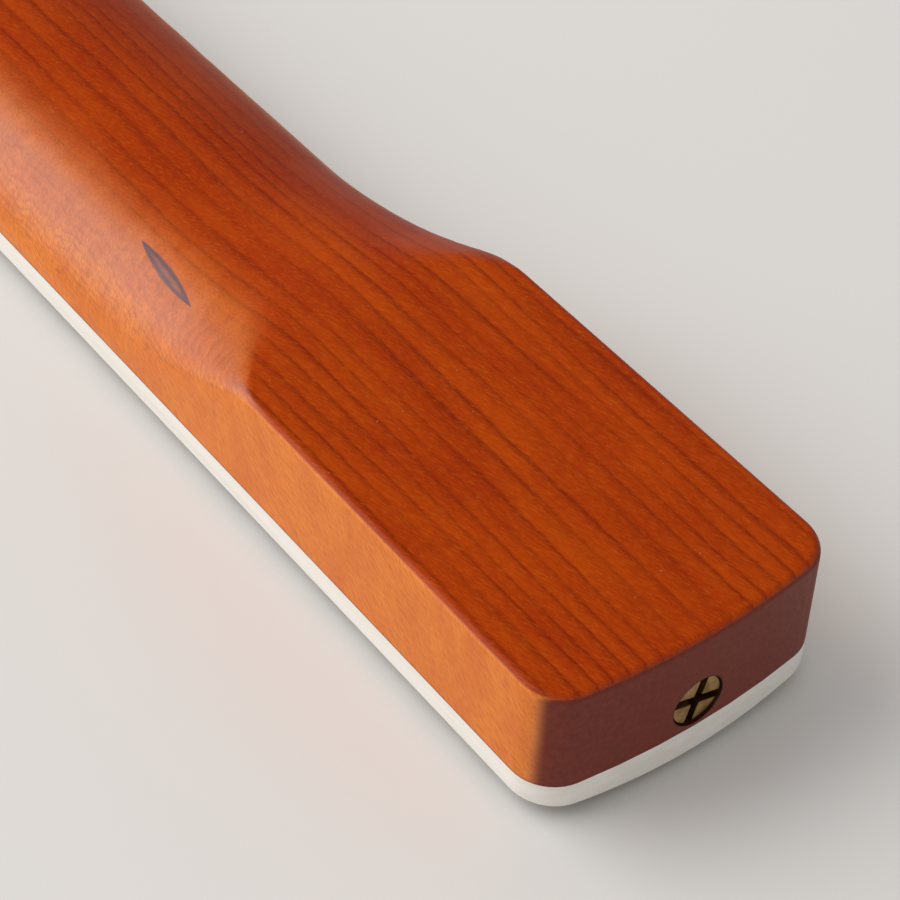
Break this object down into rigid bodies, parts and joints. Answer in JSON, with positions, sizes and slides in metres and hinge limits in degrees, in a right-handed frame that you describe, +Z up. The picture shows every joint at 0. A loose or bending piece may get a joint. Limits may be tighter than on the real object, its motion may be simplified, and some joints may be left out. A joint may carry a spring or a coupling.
{
  "type": "electric guitar neck",
  "caption": "Bolt-on electric guitar neck lying face down: tinted maple with flat heel block, carved shaft, bound fretted fingerboard, slotted truss rod nut in the heel end and plain headstock.",
  "frame": {"origin": "middle of the neck's bounding box, on the surface that the nut rests on", "axes": "+X from heel end to headstock along the neck's centre line, +Y towards the treble edge, +Z up, out of the back of the neck; the playing face looks down"},
  "size_m": [0.6459, 0.076, 0.0278],
  "materials": {
    "maple": "amber tinted satin lacquer over maple",
    "filler_maple": "bare maple",
    "rosewood": "oiled open-grained wood",
    "binding": "cream, buffed",
    "fret_wire": "polished nickel silver",
    "pearl": "pearl",
    "side_marker": "black",
    "bone": "polished bone",
    "brass": "dull, machined",
    "rod_steel": "plain steel"
  },
  "bodies": {
    "root": {"neck": "maple", "fingerboard": "rosewood", "binding": "binding", "face_markers": "pearl", "side_markers": "side_marker", "string_nut": "bone", "truss_rod": "rod_steel", "truss_rod_anchor": "rod_steel", "rod_filler_strip": "filler_maple", "fret_01": "fret_wire", "fret_02": "fret_wire", "fret_03": "fret_wire", "fret_04": "fret_wire", "fret_05": "fret_wire", "fret_06": "fret_wire", "fret_07": "fret_wire", "fret_08": "fret_wire", "fret_09": "fret_wire", "fret_10": "fret_wire", "fret_11": "fret_wire", "fret_12": "fret_wire", "fret_13": "fret_wire", "fret_14": "fret_wire", "fret_15": "fret_wire", "fret_16": "fret_wire", "fret_17": "fret_wire", "fret_18": "fret_wire", "fret_19": "fret_wire", "fret_20": "fret_wire", "fret_21": "fret_wire"},
    "rod_washer": {"truss_rod_washer": "rod_steel"},
    "rod_nut": {"truss_rod_nut": "brass"}
  },
  "joints": [
    {"name": "rod_nut_travel", "type": "slide", "parent": "root", "child": "rod_washer", "axis": [-1, 0, 0], "range_m": [0, 0.00198]},
    {"name": "rod_nut_turn", "type": "hinge", "parent": "rod_washer", "child": "rod_nut", "pos_m": [-0.316, 0, 0.0133], "axis": [-1, 0, 0], "range_deg": [0, 900]}
  ],
  "couplings": [
    {"joint": "rod_nut_turn", "follows": "rod_nut_travel", "rad_per_m": 7915.8}
  ]
}
